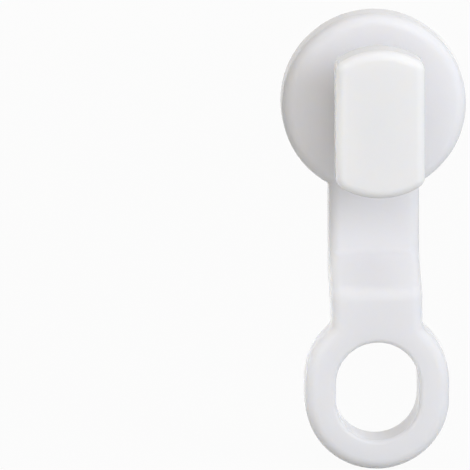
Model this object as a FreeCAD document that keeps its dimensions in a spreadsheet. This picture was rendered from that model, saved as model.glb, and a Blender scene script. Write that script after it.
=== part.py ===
import FreeCAD, Part
import math
import os
import Sketcher

# Curtain glider: a slide head that runs inside the rail, a cranked hanger with an eyelet for the
# curtain hook, a steel axle pin that joins them, and a roller on the pin for the rail's lips.
#
# Frame: millimetres, origin on the axle in the middle of the rail gap, +X along the rail, +Z up,
# -Y towards the slide head and +Y towards the pin's domed head.

# Driving sizes: name, value, what it is
SIZES = [
    ("rail_gap", 4.9, "room between head and flange for the rail's lips"),
    ("end_play", 0.08, "clearance at each end face of a turning piece"),
    ("running_gap", 0.05, "radial clearance of a piece that turns on the pin"),
    ("head_height", 13.2, "slide head across its round ends"),
    ("head_width", 7.8, "slide head across its flats"),
    ("head_thick", 3.7, "slide head along the axle"),
    ("head_edge", 0.8, "edge rounding of the slide head"),
    ("head_corner_ease", 0.3, "how much rounder the head's corners are than its edges"),
    ("roller_dia", 5.6, "neck roller, outside"),
    ("pin_dia", 2.5, "axle pin shank"),
    ("pin_grip", 2.6, "length of the pin pressed into the head"),
    ("pin_room", 0.2, "empty depth behind the pin's end"),
    ("pin_head_dia", 4.8, "domed pin head"),
    ("pin_head_rim", 0.1, "straight rim under the dome"),
    ("pin_dome_rise", 0.4, "height of the dome above its rim"),
    ("flange_dia", 16.3, "round flange of the hanger"),
    ("plate_thick", 3.9, "flange, arm and eyelet plate"),
    ("plate_edge", 0.95, "edge rounding of the hanger's outline"),
    ("arm_width", 8.0, "arm across its edges"),
    ("crank_top", 13.2, "axle to the start of the crank on the head side"),
    ("crank_drop", 2.7, "fall of the crank's slanted stretch"),
    ("crank_shift", 3.9, "step of the crank towards the head"),
    ("crank_lag", 2.6, "outer bend below the inner bend"),
    ("bend_ease", 0.65, "how much rounder the outside bends are than the edges"),
    ("bend_inside_high", 0.8, "rounding of the crank's upper inside corner"),
    ("bend_inside_low", 0.45, "rounding of the crank's lower inside corner"),
    ("eyelet_drop", 5.75, "end of the crank to the centre of the eyelet's upper arc"),
    ("eyelet_width", 7.35, "width of the oval hole"),
    ("eyelet_straight", 1.5, "straight part of the oval's sides"),
    ("eyelet_wall", 2.7, "wall round the oval hole"),
    ("eyelet_edge", 0.4, "edge rounding of the oval hole"),
    ("shoulder_round", 0.9, "rounding where the arm meets the eyelet"),
    ("root_round", 0.4, "rounding where the arm meets the flange"),
]

# Lengths that pieces share: places along the axle, then depths below it
HALF_GAP = "sizes.rail_gap / 2"
FLANGE_BACK = f"{HALF_GAP} + sizes.plate_thick"
EYELET_FRONT = f"{HALF_GAP} - sizes.crank_shift"
EYELET_BACK = f"{EYELET_FRONT} + sizes.plate_thick"
INNER_BEND_LOW = "sizes.crank_top + sizes.crank_drop"
OUTER_BEND_HIGH = "sizes.crank_top + sizes.crank_lag"
OUTER_BEND_LOW = f"{OUTER_BEND_HIGH} + sizes.crank_drop"
EYELET_HIGH = f"{OUTER_BEND_LOW} + sizes.eyelet_drop"
EYELET_LOW = f"{EYELET_HIGH} + sizes.eyelet_straight"
EYELET_RADIUS = "sizes.eyelet_width / 2"
RING_RADIUS = f"{EYELET_RADIUS} + sizes.eyelet_wall"
PIN_RADIUS = "sizes.pin_dia / 2"
PIN_BORE_RADIUS = f"{PIN_RADIUS} + sizes.running_gap"

# Bends of the crank, each as its place along the axle and its depth below it
INSIDE_BEND_HIGH = [(HALF_GAP, "sizes.crank_top")]
INSIDE_BEND_LOW = [(EYELET_BACK, OUTER_BEND_LOW)]
OUTSIDE_BENDS = [(EYELET_FRONT, INNER_BEND_LOW), (FLANGE_BACK, OUTER_BEND_HIGH)]

# The sketcher's numbers for its two axes, for the points of a line or an arc, and for the origin
LEVEL_AXIS, UPRIGHT_AXIS = -1, -2
START, END, CENTRE = 1, 2, 3
ORIGIN = (LEVEL_AXIS, START)

X_AXIS = FreeCAD.Vector(1, 0, 0)
Y_AXIS = FreeCAD.Vector(0, 1, 0)
Z_AXIS = FreeCAD.Vector(0, 0, 1)
NEAR = 1e-4
FACE_SPOTS = [(0.2, 0.2), (0.2, 0.8), (0.8, 0.2), (0.8, 0.8)]

doc = FreeCAD.newDocument("curtain_glider")
sheet = doc.addObject("Spreadsheet::Sheet", "sizes")
for row, (alias, value, note) in enumerate(SIZES, start=1):
    sheet.set(f"A{row}", alias)
    sheet.set(f"B{row}", str(value))
    sheet.setAlias(f"B{row}", alias)
    sheet.set(f"C{row}", note)
doc.recompute()


def size(expression):
    """Present value of a length given as an expression on the sheet."""
    return float(sheet.evalExpression(expression))


def new_body(name):
    """Empty body whose label names its file."""
    body = doc.addObject("PartDesign::Body", name)
    body.Label = name
    return body


def new_sketch(body, name, role, offset=None):
    """Sketch on one of the body's own origin planes, moved along the plane's normal by an expression."""
    sketch = body.newObject("Sketcher::SketchObject", name)
    plane = next(item for item in body.Origin.OriginFeatures if item.Role == role)
    sketch.AttachmentSupport = (plane, [""])
    sketch.MapMode = "FlatFace"
    if offset:
        sketch.setExpression("AttachmentOffset.Base.z", offset)
    return sketch


def fix(sketch, kind, *places):
    """Sketch constraint that has no size."""
    sketch.addConstraint(Sketcher.Constraint(kind, *places))


def drive(sketch, name, expression, kind, *places):
    """Named sketch dimension, tied to the sheet."""
    index = sketch.addConstraint(Sketcher.Constraint(kind, *places, size(expression)))
    sketch.renameConstraint(index, name)
    sketch.setExpression(f"Constraints.{name}", expression)


def add_line(sketch, start, end):
    """Straight line between two points of the sketch."""
    return sketch.addGeometry(Part.LineSegment(FreeCAD.Vector(*start, 0), FreeCAD.Vector(*end, 0)))


def add_arc(sketch, centre, radius, start, end):
    """Arc about a point of the sketch, between two angles."""
    circle = Part.Circle(FreeCAD.Vector(*centre, 0), Z_AXIS, radius)
    return sketch.addGeometry(Part.ArcOfCircle(circle, start, end))


def add_circle(sketch, name, radius):
    """Circle round the sketch's origin."""
    circle = sketch.addGeometry(Part.Circle(FreeCAD.Vector(), Z_AXIS, size(radius)))
    fix(sketch, "Coincident", circle, CENTRE, *ORIGIN)
    drive(sketch, name, radius, "Radius", circle)


def close_loop(sketch, pieces):
    """Joins each piece's end to the next one's start, and the last to the first."""
    for piece, following in zip(pieces, pieces[1:] + pieces[:1]):
        fix(sketch, "Coincident", piece, END, following, START)


def add_oval(sketch, radius, high, low):
    """Upright oval below the axle: two half circles at two depths, joined by straight sides."""
    r = size(radius)
    top = -size(high)
    bottom = -size(low)
    upper = add_arc(sketch, (0, top), r, 0, math.pi)
    left = add_line(sketch, (-r, top), (-r, bottom))
    lower = add_arc(sketch, (0, bottom), r, math.pi, 2 * math.pi)
    right = add_line(sketch, (r, bottom), (r, top))
    loop = [upper, left, lower, right]
    for piece, following in zip(loop, loop[1:] + loop[:1]):
        fix(sketch, "Tangent", piece, END, following, START)
    fix(sketch, "PointOnObject", upper, CENTRE, UPRIGHT_AXIS)
    fix(sketch, "PointOnObject", lower, CENTRE, UPRIGHT_AXIS)
    drive(sketch, "radius", radius, "Radius", upper)
    drive(sketch, "high", high, "DistanceY", upper, CENTRE, *ORIGIN)
    drive(sketch, "low", low, "DistanceY", lower, CENTRE, *ORIGIN)


def extrude(body, kind, name, sketch, length, side="One side", reverse=False):
    """Pad or pocket of a sketch, its length tied to the sheet; a wrong direction shows in the volume."""
    before = body.Tip.Shape.Volume if body.Tip else 0.0
    feature = body.newObject(f"PartDesign::{kind}", name)
    feature.Profile = sketch
    feature.SideType = side
    feature.Reversed = reverse
    feature.setExpression("Length", length)
    doc.recompute()
    change = feature.Shape.Volume - before
    if (change > 0) != (kind == "Pad"):
        raise RuntimeError(f"{name} changes the volume by {change:.4f} mm3")


def round_edges(body, name, radius, wanted):
    """Fillet on every edge of the body that the test accepts."""
    base = body.Tip
    shape = base.Shape
    names = [f"Edge{n}" for n, edge in enumerate(shape.Edges, start=1) if wanted(shape, edge)]
    if not names:
        raise RuntimeError(f"{name} finds no edge")
    feature = body.newObject("PartDesign::Fillet", name)
    feature.Base = (base, names)
    feature.setExpression("Radius", radius)
    doc.recompute()


def straight_along(edge, axis):
    """True for a straight edge along an axis."""
    return isinstance(edge.Curve, Part.Line) and edge.Curve.Direction.cross(axis).Length < NEAR


def square_to(face, axis):
    """True for a face whose normals are all square to an axis."""
    u_low, u_high, v_low, v_high = face.ParameterRange
    spots = [(u_low + a * (u_high - u_low), v_low + b * (v_high - v_low)) for a, b in FACE_SPOTS]
    return all(abs(face.normalAt(u, v).dot(axis)) < NEAR for u, v in spots)


def level_edge(shape, edge):
    """True for an edge that lies in one plane across the axle."""
    return edge.BoundBox.YLength < NEAR


def axle_edge(shape, edge):
    """True for a straight edge along the axle."""
    return straight_along(edge, Y_AXIS)


def outline_edge(shape, edge):
    """True for an edge between a side wall of the hanger and its front or back."""
    walls = [square_to(face, Y_AXIS) for face in shape.ancestorsOfType(edge, Part.Face)]
    return sorted(walls) == [False, True]


def arm_corner(shape, edge):
    """True for an edge along the axle on a side of the arm."""
    return axle_edge(shape, edge) and abs(abs(edge.CenterOfMass.x) - size("sizes.arm_width / 2")) < NEAR


def root_corner(shape, edge):
    """True where the arm's side meets the flange."""
    return arm_corner(shape, edge) and edge.CenterOfMass.z > -size("sizes.crank_top")


def shoulder_corner(shape, edge):
    """True where the arm's side meets the eyelet ring."""
    return arm_corner(shape, edge) and edge.CenterOfMass.z < -size("sizes.crank_top")


def bend_corner(bends):
    """Test for the edges across the arm at the given bends."""
    places = [FreeCAD.Vector(0, size(place), -size(depth)) for place, depth in bends]

    def wanted(shape, edge):
        at_bend = any(edge.CenterOfMass.isEqual(spot, NEAR) for spot in places)
        return at_bend and straight_along(edge, X_AXIS)
    return wanted


def eyelet_edge(shape, edge):
    """True for a rim of the eyelet's hole."""
    box = edge.BoundBox
    inside = max(abs(box.XMin), abs(box.XMax)) < size(EYELET_RADIUS) + NEAR
    below = box.ZMax < -size(OUTER_BEND_LOW)
    return inside and below and outline_edge(shape, edge)


# Slide head: a disc cut down to two flats, rounded all over, with a blind hole for the pin
def make_slide_head():
    body = new_body("slide_head")
    outline = new_sketch(body, "head_outline", "XZ_Plane", HALF_GAP)
    radius = size("sizes.head_height / 2")
    half = size("sizes.head_width / 2")
    rise = math.sqrt(radius ** 2 - half ** 2)
    turn = math.atan2(rise, half)
    upper = add_arc(outline, (0, 0), radius, turn, math.pi - turn)
    left = add_line(outline, (-half, rise), (-half, -rise))
    lower = add_arc(outline, (0, 0), radius, math.pi + turn, 2 * math.pi - turn)
    right = add_line(outline, (half, -rise), (half, rise))
    close_loop(outline, [upper, left, lower, right])
    fix(outline, "Coincident", upper, CENTRE, *ORIGIN)
    fix(outline, "Coincident", lower, CENTRE, *ORIGIN)
    fix(outline, "Vertical", left)
    fix(outline, "Vertical", right)
    drive(outline, "radius", "sizes.head_height / 2", "Radius", upper)
    drive(outline, "left_flat", "sizes.head_width / 2", "DistanceX", left, START, *ORIGIN)
    drive(outline, "right_flat", "sizes.head_width / 2", "DistanceX", *ORIGIN, right, START)
    extrude(body, "Pad", "head_slab", outline, "sizes.head_thick")
    round_edges(body, "head_corners", "sizes.head_edge + sizes.head_corner_ease", axle_edge)
    round_edges(body, "head_edges", "sizes.head_edge", level_edge)
    hole = new_sketch(body, "head_hole_outline", "XZ_Plane", HALF_GAP)
    add_circle(hole, "radius", PIN_RADIUS)
    extrude(body, "Pocket", "head_hole", hole, "sizes.pin_grip + sizes.pin_room", reverse=True)


# Neck roller: a plain sleeve on the pin, square at both ends
def make_neck_roller():
    body = new_body("neck_roller")
    outline = new_sketch(body, "roller_outline", "XZ_Plane")
    add_circle(outline, "outside", "sizes.roller_dia / 2")
    add_circle(outline, "bore", PIN_BORE_RADIUS)
    extrude(body, "Pad", "sleeve", outline, "sizes.rail_gap - 2 * sizes.end_play", side="Symmetric")


# Side view of the arm: the two faces of the plate step towards the head at the crank
def draw_arm_profile(body):
    profile = new_sketch(body, "arm_profile", "YZ_Plane")
    front = size(HALF_GAP)
    back = size(FLANGE_BACK)
    low_front = size(EYELET_FRONT)
    low_back = size(EYELET_BACK)
    end = -size(EYELET_HIGH)
    corners = [
        (front, 0),
        (front, -size("sizes.crank_top")),
        (low_front, -size(INNER_BEND_LOW)),
        (low_front, end),
        (low_back, end),
        (low_back, -size(OUTER_BEND_LOW)),
        (back, -size(OUTER_BEND_HIGH)),
        (back, 0),
    ]
    lines = [add_line(profile, *ends) for ends in zip(corners, corners[1:] + corners[:1])]
    close_loop(profile, lines)
    inner_high, inner_slant, inner_low, foot, outer_low, outer_slant, outer_high, top = lines
    for upright in (inner_high, inner_low, outer_low, outer_high):
        fix(profile, "Vertical", upright)
    fix(profile, "Horizontal", foot)
    fix(profile, "PointOnObject", top, START, LEVEL_AXIS)
    fix(profile, "PointOnObject", top, END, LEVEL_AXIS)
    drive(profile, "front", HALF_GAP, "DistanceX", *ORIGIN, inner_high, START)
    drive(profile, "thick_high", "sizes.plate_thick", "DistanceX", inner_high, START, outer_high, END)
    drive(profile, "thick_low", "sizes.plate_thick", "DistanceX", foot, START, foot, END)
    drive(profile, "shift", "sizes.crank_shift", "DistanceX", inner_slant, END, inner_slant, START)
    drive(profile, "crank_top", "sizes.crank_top", "DistanceY", inner_high, END, *ORIGIN)
    drive(profile, "inner_drop", "sizes.crank_drop", "DistanceY", inner_slant, END, inner_slant, START)
    drive(profile, "lag", "sizes.crank_lag", "DistanceY", outer_slant, END, inner_slant, START)
    drive(profile, "outer_drop", "sizes.crank_drop", "DistanceY", outer_slant, START, outer_slant, END)
    drive(profile, "end", EYELET_HIGH, "DistanceY", foot, START, *ORIGIN)
    return profile


# Hanger: round flange, cranked arm and oval eyelet in one moulding, its edges rounded
def make_hanger():
    body = new_body("hanger")
    flange = new_sketch(body, "flange_outline", "XZ_Plane", f"-({HALF_GAP})")
    add_circle(flange, "radius", "sizes.flange_dia / 2")
    extrude(body, "Pad", "flange", flange, "sizes.plate_thick", reverse=True)
    extrude(body, "Pad", "arm", draw_arm_profile(body), "sizes.arm_width", side="Symmetric")
    ring = new_sketch(body, "ring_outline", "XZ_Plane", f"-({EYELET_FRONT})")
    add_oval(ring, RING_RADIUS, EYELET_HIGH, EYELET_LOW)
    extrude(body, "Pad", "ring", ring, "sizes.plate_thick", reverse=True)
    round_edges(body, "root", "sizes.root_round", root_corner)
    round_edges(body, "shoulders", "sizes.shoulder_round", shoulder_corner)
    round_edges(body, "inside_bend_high", "sizes.bend_inside_high", bend_corner(INSIDE_BEND_HIGH))
    round_edges(body, "inside_bend_low", "sizes.bend_inside_low", bend_corner(INSIDE_BEND_LOW))
    round_edges(body, "outside_bends", "sizes.plate_edge + sizes.bend_ease", bend_corner(OUTSIDE_BENDS))
    round_edges(body, "outline_edges", "sizes.plate_edge", outline_edge)
    hole = new_sketch(body, "eyelet_outline", "XZ_Plane", f"-({EYELET_FRONT})")
    add_oval(hole, EYELET_RADIUS, EYELET_HIGH, EYELET_LOW)
    extrude(body, "Pocket", "eyelet", hole, "sizes.plate_thick")
    round_edges(body, "eyelet_edges", "sizes.eyelet_edge", eyelet_edge)
    bore = new_sketch(body, "bore_outline", "XZ_Plane", f"-({HALF_GAP})")
    add_circle(bore, "radius", PIN_BORE_RADIUS)
    extrude(body, "Pocket", "bore", bore, "sizes.plate_thick")


# Axle pin: a turned steel shank with a low domed head that keeps the hanger on
def make_axle_pin():
    body = new_body("axle_pin")
    profile = new_sketch(body, "pin_profile", "YZ_Plane")
    tip_place = f"{HALF_GAP} + sizes.pin_grip"
    seat_place = f"{FLANGE_BACK} + sizes.end_play"
    tip = -size(tip_place)
    seat = size(seat_place)
    shank = size(PIN_RADIUS)
    rim = size("sizes.pin_head_dia / 2")
    rim_end = seat + size("sizes.pin_head_rim")
    rise = size("sizes.pin_dome_rise")
    crown = (rim ** 2 + rise ** 2) / (2 * rise)
    corners = [(rim_end + rise, 0), (tip, 0), (tip, shank), (seat, shank), (seat, rim), (rim_end, rim)]
    lines = [add_line(profile, *ends) for ends in zip(corners, corners[1:])]
    axis, tip_face, side, under_head, rim_side = lines
    # the dome runs from its crown on the axle to the rim, so its end meets the rim and its start the axle
    dome = add_arc(profile, (rim_end + rise - crown, 0), crown, 0, math.asin(rim / crown))
    for piece, following in zip(lines, lines[1:]):
        fix(profile, "Coincident", piece, END, following, START)
    fix(profile, "Coincident", rim_side, END, dome, END)
    fix(profile, "Coincident", dome, START, axis, START)
    fix(profile, "PointOnObject", dome, CENTRE, LEVEL_AXIS)
    fix(profile, "PointOnObject", axis, START, LEVEL_AXIS)
    fix(profile, "PointOnObject", axis, END, LEVEL_AXIS)
    for level in (side, rim_side):
        fix(profile, "Horizontal", level)
    for upright in (tip_face, under_head):
        fix(profile, "Vertical", upright)
    drive(profile, "tip", tip_place, "DistanceX", tip_face, START, *ORIGIN)
    drive(profile, "seat", seat_place, "DistanceX", *ORIGIN, under_head, START)
    drive(profile, "shank", PIN_RADIUS, "DistanceY", tip_face, START, tip_face, END)
    drive(profile, "head", "sizes.pin_head_dia / 2", "DistanceY", tip_face, START, under_head, END)
    drive(profile, "rim", "sizes.pin_head_rim", "DistanceX", rim_side, START, rim_side, END)
    drive(profile, "dome", "sizes.pin_dome_rise", "DistanceX", rim_side, END, dome, START)
    turned = body.newObject("PartDesign::Revolution", "turned_pin")
    turned.Profile = profile
    turned.ReferenceAxis = (profile, ["H_Axis"])
    doc.recompute()


make_slide_head()
make_neck_roller()
make_hanger()
make_axle_pin()

# Every feature has to be sound, and every piece one valid solid, before anything is written
for item in doc.Objects:
    if {"Invalid", "Error"} & set(item.State):
        raise RuntimeError(f"{item.Name} failed: {item.State}")
bodies = [item for item in doc.Objects if item.isDerivedFrom("PartDesign::Body")]
for body in bodies:
    shape = body.Shape
    if shape.isNull() or not shape.isValid() or len(shape.Solids) != 1:
        raise RuntimeError(f"{body.Label} isn't one valid solid")

os.makedirs("parts", exist_ok=True)
for body in bodies:
    body.Shape.exportStep(f"parts/{body.Label}.step")
    box = body.Shape.optimalBoundingBox()
    print(f"{body.Label}: {body.Shape.Volume:.2f} mm3, x {box.XMin:.2f} to {box.XMax:.2f}, "
          f"y {box.YMin:.2f} to {box.YMax:.2f}, z {box.ZMin:.2f} to {box.ZMax:.2f}")
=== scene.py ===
# %% [markdown]
# A curtain glider, dressed
#
# A curtain glider is a small moulded runner that hangs from a slotted rail. Its slide head stays
# inside the rail, a roller on the neck carries the weight along the rail's lips, and the hanger below
# takes the curtain hook in its oval eyelet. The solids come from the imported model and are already
# true to size, with every bend and rounding in them, so nothing is modelled again here. This lesson is
# about the finish: white plastic, a warmer roller, turned steel, and the quiet studio light in which
# white on white still shows its form.

# %% Load the fixed frame
import math

import bpy
import numpy as np
from mathutils import Matrix, Vector


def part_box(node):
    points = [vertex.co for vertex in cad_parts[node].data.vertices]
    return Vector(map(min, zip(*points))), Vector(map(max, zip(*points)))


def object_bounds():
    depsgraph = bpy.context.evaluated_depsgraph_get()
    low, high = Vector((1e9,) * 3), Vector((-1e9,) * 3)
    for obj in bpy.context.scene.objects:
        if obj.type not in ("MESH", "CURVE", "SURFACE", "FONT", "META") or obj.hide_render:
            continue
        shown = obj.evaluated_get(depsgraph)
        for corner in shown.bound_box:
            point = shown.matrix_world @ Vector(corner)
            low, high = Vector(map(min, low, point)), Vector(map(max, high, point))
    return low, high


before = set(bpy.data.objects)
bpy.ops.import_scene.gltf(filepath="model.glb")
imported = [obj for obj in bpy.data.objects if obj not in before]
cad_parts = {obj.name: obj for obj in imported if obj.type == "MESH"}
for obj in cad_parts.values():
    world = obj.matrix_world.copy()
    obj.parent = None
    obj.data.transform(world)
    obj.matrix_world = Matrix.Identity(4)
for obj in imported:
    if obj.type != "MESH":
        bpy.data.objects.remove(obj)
cad_low, cad_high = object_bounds()
MM = 0.001
print("pieces:", sorted(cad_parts))
print("box in mm:", [round(side / MM, 2) for side in cad_high - cad_low])

# %% [markdown]
# Shader sums
#
# A finish is a little arithmetic on noise and distance. Wiring each sum by hand hides the idea in
# boxes and lines, so one small class wraps a socket and lets Python's own operators add the Math
# nodes. Everything that isn't a sum comes from a single method, which sets a node's options before it
# fills the sockets, because some options change which sockets there are.


# %% A socket that can be added and multiplied
class Sum:
    """A number on a socket; each operator adds one Math node and gives back its result."""

    def __init__(self, finish, socket):
        self.finish = finish
        self.socket = socket

    def math(self, operation, first, second):
        return self.finish.node("ShaderNodeMath", {"operation": operation}, {0: first, 1: second})

    def __add__(self, other):
        return self.math("ADD", self, other)

    def __sub__(self, other):
        return self.math("SUBTRACT", self, other)

    def __rsub__(self, other):
        return self.math("SUBTRACT", other, self)

    def __mul__(self, other):
        return self.math("MULTIPLY", self, other)

    __radd__ = __add__
    __rmul__ = __mul__


# %% A finish: one material and the method that adds its nodes
NOISE_DETAIL = 3.0


class Finish:
    """A material's node tree, filled by node() and closed by surface()."""

    def __init__(self, name):
        self.material = bpy.data.materials.new(name)
        self.material.use_nodes = True
        self.tree = self.material.node_tree
        self.tree.nodes.clear()

    def node(self, kind, settings=None, inputs=None, result=0):
        """Adds a node, sets its options, then its sockets, and wraps the wanted output, if any."""
        made = self.tree.nodes.new(kind)
        for option, value in (settings or {}).items():
            setattr(made, option, value)
        for place, value in (inputs or {}).items():
            if isinstance(value, Sum):
                self.tree.links.new(value.socket, made.inputs[place])
            else:
                made.inputs[place].default_value = value
        return Sum(self, made.outputs[result]) if made.outputs else None

    def places(self):
        """Object coordinates: metres in the part's own frame."""
        return self.node("ShaderNodeTexCoord", result="Object")

    def noise(self, size):
        """Soft blotches of about the given size in metres, from 0 to 1."""
        inputs = {"Vector": self.places(), "Scale": 1 / size, "Detail": NOISE_DETAIL}
        return self.node("ShaderNodeTexNoise", None, inputs)

    def blend(self, amount, first, second):
        """Colour between two colours."""
        settings = {"data_type": "RGBA", "clamp_factor": True}
        return self.node("ShaderNodeMix", settings, {0: amount, 6: first, 7: second}, result=2)

    def bump(self, height, depth):
        """Normal of a surface raised by height, a value from 0 to 1, times depth in metres."""
        return self.node("ShaderNodeBump", None, {"Strength": 1.0, "Distance": depth, "Height": height})

    def surface(self, kind, settings=None, inputs=None):
        """Adds the closing shader and joins it to the material's output."""
        shader = self.node(kind, settings, inputs)
        self.node("ShaderNodeOutputMaterial", None, {"Surface": shader})
        return self.material


# %% [markdown]
# Moulded plastic
#
# Head, hanger and roller are injection moulded. Seen close, such a skin is never one flat white: the
# colour drifts a little where the melt cooled at a different pace, the gloss comes and goes in patches
# with the polish of the mould, and a fine orange peel softens each highlight. The plastic also lets
# light in, and that glow fills the shade and evens out the rounded edges. A painted picture could fake
# this for one view only. Noise at three sizes, with subsurface scattering for the glow, holds from
# every side.

# %% One recipe for the three mouldings
DRIFT_SIZE = 6 * MM
PATCH_SIZE = 1.7 * MM
PEEL_SIZE = 0.22 * MM
PATCH_DEPTH = 0.10
PLASTIC_IOR = 1.48
GLOW_SHARE = 0.7
GLOW_REACH = (1.0, 0.93, 0.82)


def moulded_plastic(name, bright, dull, roughness, peel, glow):
    """Plastic between two near tones; roughness varies round its value; peel and glow are in metres."""
    finish = Finish(name)
    drift = finish.noise(DRIFT_SIZE)
    patches = finish.noise(PATCH_SIZE)
    orange_peel = finish.noise(PEEL_SIZE)
    inputs = {
        "Base Color": finish.blend(drift, dull, bright),
        "Roughness": roughness + PATCH_DEPTH * (patches - 0.5),
        "Normal": finish.bump(orange_peel, peel),
        "IOR": PLASTIC_IOR,
        "Subsurface Weight": GLOW_SHARE,
        "Subsurface Radius": GLOW_REACH,
        "Subsurface Scale": glow,
    }
    return finish.surface("ShaderNodeBsdfPrincipled", {"subsurface_method": "RANDOM_WALK"}, inputs)


def dress(node, material):
    """Gives a node one material."""
    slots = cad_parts[node].data.materials
    slots.clear()
    slots.append(material)
    print(f"{node}: {material.name}")


# %% [markdown]
# The hanger
#
# The hanger is the large moulding: flange, arm, crank and eyelet in one. It came from a polished mould,
# so its highlights are narrow, and its white leans slightly to blue, as many whites do. Light reaches
# about two millimetres into it, which is half its thickness, so the edges stay pale and the shade on
# the flange has no hard rim.

# %% White plastic on the hanger
WHITE = (0.876, 0.873, 0.908, 1.0)
WHITE_DULL = (0.851, 0.848, 0.879, 1.0)
POLISHED = 0.17
FINE_PEEL = 0.0016 * MM
HANGER_GLOW = 2.2 * MM
hanger_plastic = moulded_plastic("white plastic", WHITE, WHITE_DULL, POLISHED, FINE_PEEL, HANGER_GLOW)
dress("hanger", hanger_plastic)

# %% [markdown]
# The slide head
#
# The head is a separate moulding. Its white is a lighter copy of the hanger's white, which paints in
# more light on the head. The dark axle pin ends only a millimetre below its front face. With the
# hanger's deep glow the pin would show through as a grey spot, so the same recipe gets a shallower glow
# here.

# %% White plastic on the head, painted lighter
# A lighter copy of the hanger's white: painted light on the head.
PAINTED_LIGHT_WHITE = (0.928, 0.925, 0.962, 1.0)
PAINTED_LIGHT_WHITE_DULL = (0.903, 0.900, 0.934, 1.0)
HEAD_GLOW = 1.0 * MM
head_plastic = moulded_plastic(
    "white plastic with painted light", PAINTED_LIGHT_WHITE, PAINTED_LIGHT_WHITE_DULL, POLISHED, FINE_PEEL, HEAD_GLOW
)
dress("slide_head", head_plastic)

# %% [markdown]
# The roller
#
# The roller on the neck is a plastic chosen to slide well and not for its looks. Its colour is painted
# a little darker and warmer than the white mouldings beside it, which paints in the shade of the narrow
# gap between head and flange. The rail's lips keep it dull. The recipe stays the same, with a higher
# roughness and a coarser peel.

# %% Roller plastic with painted shade
# Darker, warmer white: painted shade of the gap between head and flange.
ROLLER_PAINTED_SHADE = (0.80, 0.785, 0.75, 1.0)
ROLLER_PAINTED_SHADE_DULL = (0.755, 0.74, 0.70, 1.0)
RUBBED = 0.38
COARSE_PEEL = 0.002 * MM
ROLLER_GLOW = 0.9 * MM
roller_plastic = moulded_plastic(
    "roller plastic with painted shade", ROLLER_PAINTED_SHADE, ROLLER_PAINTED_SHADE_DULL, RUBBED, COARSE_PEEL, ROLLER_GLOW
)
dress("neck_roller", roller_plastic)

# %% [markdown]
# The axle pin
#
# The pin is turned steel. A lathe tool leaves fine rings round the axle, so the gloss and the height
# follow the distance from that axle, with a little noise to keep the rings from looking drawn, and a
# second noise darkens the steel in patches. Anisotropic shading could stand in for the rings, but it
# needs a direction at each point, and real rings in the bump are plainer to follow.

# %% Turned steel on the pin
STEEL_DARK = (0.30, 0.30, 0.31, 1.0)
STEEL_PALE = (0.46, 0.455, 0.45, 1.0)
ACROSS_AXLE = (1, 0, 1)
RING_WIDTH = 0.14 * MM
RING_DEPTH = 0.002 * MM
RING_SHAKE = 3.0
SHAKE_SIZE = 0.5 * MM
STAIN_SIZE = 1.1 * MM
TURNED = 0.30
RING_DULLNESS = 0.12
STAIN_DULLNESS = 0.10


def turned_steel(name):
    """Steel with fine rings: a sine of the distance from the axle, shaken by noise."""
    finish = Finish(name)
    inputs = {0: finish.places(), 1: ACROSS_AXLE}
    flat = finish.node("ShaderNodeVectorMath", {"operation": "MULTIPLY"}, inputs)
    reach = finish.node("ShaderNodeVectorMath", {"operation": "LENGTH"}, {0: flat}, result="Value")
    shake = finish.noise(SHAKE_SIZE)
    angle = reach * (math.tau / RING_WIDTH) + RING_SHAKE * shake
    rings = 0.5 + 0.5 * finish.node("ShaderNodeMath", {"operation": "SINE"}, {0: angle})
    stain = finish.noise(STAIN_SIZE)
    inputs = {
        "Base Color": finish.blend(stain, STEEL_DARK, STEEL_PALE),
        "Metallic": 1.0,
        "Roughness": TURNED + RING_DULLNESS * rings + STAIN_DULLNESS * (stain - 0.5),
        "Normal": finish.bump(rings, RING_DEPTH),
    }
    return finish.surface("ShaderNodeBsdfPrincipled", None, inputs)


dress("axle_pin", turned_steel("turned steel"))

# %% [markdown]
# The floor
#
# The glider was photographed against plain white. A floor lit to full white would throw so much light
# back that the undersides lost their shade. So the floor itself is a light grey, and shows as white
# only to rays from the camera and to rays that mirror or pass through. It keeps a small share of its
# real shading, so the glider's soft shadow still lies on it.

# %% Floor
FLOOR_REACH = 3.0
FLOOR_GREY = (0.45, 0.45, 0.435, 1.0)
SEEN_WHITE = (1.0, 1.0, 1.0, 1.0)
SHADOW_SHARE = 0.045


def seen_directly(finish):
    """1 for rays from the camera, and for those that mirror or pass through, else 0."""
    names = ("Is Camera Ray", "Is Glossy Ray", "Is Transmission Ray")
    camera, glossy, through = (finish.node("ShaderNodeLightPath", result=name) for name in names)
    inputs = {0: camera + glossy + through, 1: 1.0}
    return finish.node("ShaderNodeMath", {"operation": "MINIMUM"}, inputs)


def floor_finish():
    """Matt grey mixed with a white glow, the glow only for rays that see the floor directly."""
    finish = Finish("white floor")
    matt = finish.node("ShaderNodeBsdfDiffuse", None, {"Color": FLOOR_GREY})
    white = finish.node("ShaderNodeEmission", None, {"Color": SEEN_WHITE, "Strength": 1.0})
    share = seen_directly(finish) * (1 - SHADOW_SHARE)
    return finish.surface("ShaderNodeMixShader", None, {0: share, 1: matt, 2: white})


def make_floor(height):
    """Square floor at a height: the four corners of a grid in x and y."""
    edge = np.array([-FLOOR_REACH, FLOOR_REACH])
    x, y = np.meshgrid(edge, edge)
    points = np.stack([x, y, np.full_like(x, height)], axis=-1).reshape(-1, 3)
    mesh = bpy.data.meshes.new("floor")
    mesh.from_pydata(points.tolist(), [], [(0, 1, 3, 2)])
    mesh.materials.append(floor_finish())
    floor = bpy.data.objects.new("floor", mesh)
    bpy.context.scene.collection.objects.link(floor)
    return floor


floor = make_floor(cad_low.z)
print("floor at", round(cad_low.z / MM, 2), "mm")

# %% [markdown]
# The sky
#
# The room round the glider is pale and slightly warm. Its front half is brighter than its back, as when
# the lamps stand on the camera's side, so the tone follows how far a direction points to the front.
# What the camera and the mirroring rays see of it is again plain white.

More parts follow.
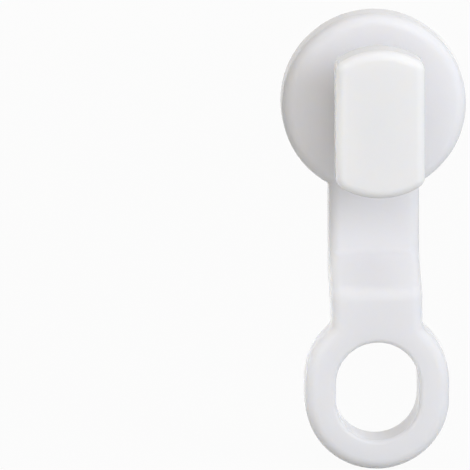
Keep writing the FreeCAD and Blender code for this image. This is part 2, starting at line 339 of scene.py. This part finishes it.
# %% Sky
SKY_LIGHT = 0.44
SKY_AHEAD = (1.0, 0.968, 0.912, 1.0)
SKY_BEHIND = (0.34, 0.33, 0.31, 1.0)


class Sky(Finish):
    """The world's node tree, filled in the same way as a material's."""

    def __init__(self, world):
        world.use_nodes = True
        self.tree = world.node_tree
        self.tree.nodes.clear()


world = bpy.data.worlds.new("pale room")
bpy.context.scene.world = world
sky = Sky(world)
way = sky.node("ShaderNodeTexCoord", result="Generated")
depth = sky.node("ShaderNodeSeparateXYZ", None, {0: way}, result="Y")
tone = sky.blend(0.5 - 0.5 * depth, SKY_BEHIND, SKY_AHEAD)
soft = sky.node("ShaderNodeBackground", None, {"Color": tone, "Strength": SKY_LIGHT})
white = sky.node("ShaderNodeBackground", None, {"Color": SEEN_WHITE, "Strength": 1.0})
seen = sky.node("ShaderNodeMixShader", None, {0: seen_directly(sky), 1: soft, 2: white})
sky.node("ShaderNodeOutputWorld", None, {"Surface": seen})
print("sky at", SKY_LIGHT)

# %% [markdown]
# The lamps
#
# White on white is drawn by its shade. The key lamp stands to the right, far enough round that the head
# throws its shade over the flange's whole left side. It is a little blue and the fill a little warm,
# which is what makes the shade look warm. The front and top lamps are the fill: they keep the faces and
# the tops pale, and a back lamp keeps the rear face white. These four are large, and mirrored in the
# rounded edges they would show as wide bands, so mirroring rays don't see them. The highlights come
# from a small glint lamp instead.

# %% A lamp that faces its aim
FAR = 0.40
NO_GRID = 180
middle = (cad_low + cad_high) / 2


def add_lamp(
    name, turn, rise, size, power, colour, aim=middle, distance=FAR, grid=NO_GRID, mirrored=False
):
    """Area lamp at turn and rise round its aim; size is width and height, grid the beam's angle."""
    lamp = bpy.data.lights.new(name, "AREA")
    lamp.shape = "RECTANGLE"
    lamp.size, lamp.size_y = size
    lamp.energy = power
    lamp.color = colour
    lamp.spread = math.radians(grid)
    stand = bpy.data.objects.new(name, lamp)
    bpy.context.scene.collection.objects.link(stand)
    around = math.radians(turn)
    up = math.radians(rise)
    away = Vector((math.sin(around) * math.cos(up), -math.cos(around) * math.cos(up), math.sin(up)))
    stand.location = aim + away * distance
    stand.rotation_mode = "QUATERNION"
    stand.rotation_quaternion = away.to_track_quat("Z", "Y")
    stand.visible_camera = False
    stand.visible_glossy = mirrored
    print(f"{name}: {power} W at {turn}, {rise} degrees")


# %% Key, glint and fill
COOL = (0.865, 0.92, 1.0)
PALE_BLUE = (0.95, 0.975, 1.0)
WARM = (1.0, 0.974, 0.94)
PALE_WARM = (1.0, 0.985, 0.96)
add_lamp("key lamp", turn=46, rise=19, size=(0.16, 0.16), power=0.71, colour=COOL)
add_lamp(
    "glint lamp", turn=18, rise=28, size=(0.025, 0.025), power=0.035, colour=PALE_BLUE, mirrored=True
)
add_lamp("front lamp", turn=-3, rise=20, size=(0.30, 0.30), power=0.43, colour=WARM)
add_lamp("top lamp", turn=10, rise=89, size=(0.20, 0.20), power=0.33, colour=PALE_WARM)
add_lamp("back lamp", turn=180, rise=2, size=(0.10, 0.04), power=0.85, colour=PALE_WARM)

# %% [markdown]
# The strips
#
# On the real glider the left edges of head, arm and eyelet are pale, while the flange's left side
# lies in shade. A lamp far out on the left would light both. A studio lamp can wear a grid, which
# narrows its beam, and two small strips with grids stand close by: one reaches only the head, in front
# of the flange, and the other only the arm and the eyelet below it.

# %% Two strips with grids
NEAR = 0.06
head_low, head_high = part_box("slide_head")
head_middle = (head_low + head_high) / 2
hanger_low, hanger_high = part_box("hanger")
flange_bottom = -hanger_high.z
arm_middle = Vector((0.0, (hanger_low.y + hanger_high.y) / 2, (hanger_low.z + flange_bottom) / 2))
add_lamp(
    "head strip", turn=-88, rise=0, size=(4 * MM, 13 * MM), power=0.00012, colour=PALE_BLUE,
    aim=head_middle, distance=NEAR, grid=12,
)
add_lamp(
    "arm strip", turn=-84, rise=4, size=(9 * MM, 16 * MM), power=0.00022, colour=PALE_BLUE,
    aim=arm_middle, distance=NEAR, grid=16,
)

# %% [markdown]
# The camera
#
# The photograph was taken from far away with a long lens, from slightly left of the glider's front
# and a little above it. The camera keeps that direction. Pointing it by eye would take many tries, so
# it is aimed by sums: the middle of the flange's front face lands on its own pixel, and the lens
# follows from the scale in pixels per millimetre.

# %% Camera
FRAME_PX = 470
FLANGE_PX = Vector((374.5, 106.1))
PX_PER_MM = 11.35
VIEW_TURN = -3.0
VIEW_RISE = 12.5
VIEW_ROLL = -0.28
VIEW_DISTANCE = 0.9

camera_data = bpy.data.cameras.new("camera")
camera = bpy.data.objects.new("camera", camera_data)
bpy.context.scene.collection.objects.link(camera)
bpy.context.scene.camera = camera
turn, rise = math.radians(VIEW_TURN), math.radians(VIEW_RISE)
back = Vector((math.sin(turn) * math.cos(rise), -math.cos(turn) * math.cos(rise), math.sin(rise)))
basis = back.to_track_quat("Z", "Y").to_matrix() @ Matrix.Rotation(math.radians(VIEW_ROLL), 3, "Z")
right, up = basis.col[0], basis.col[1]
metres_per_px = MM / PX_PER_MM
offset = (FLANGE_PX - Vector((FRAME_PX, FRAME_PX)) / 2) * metres_per_px
flange_front = Vector((0.0, -head_high.y, 0.0))
aim = flange_front - right * offset.x + up * offset.y
camera.location = aim + back * VIEW_DISTANCE
camera.rotation_mode = "QUATERNION"
camera.rotation_quaternion = basis.to_quaternion()
camera_data.lens = camera_data.sensor_width * VIEW_DISTANCE / (FRAME_PX * metres_per_px)
print("lens", round(camera_data.lens, 1), "mm")

# %% [markdown]
# Colours
#
# The Standard view shows a colour about as it was written, which is what a part needs that will stand
# in other scenes.

# %% View
bpy.context.scene.view_settings.view_transform = "Standard"
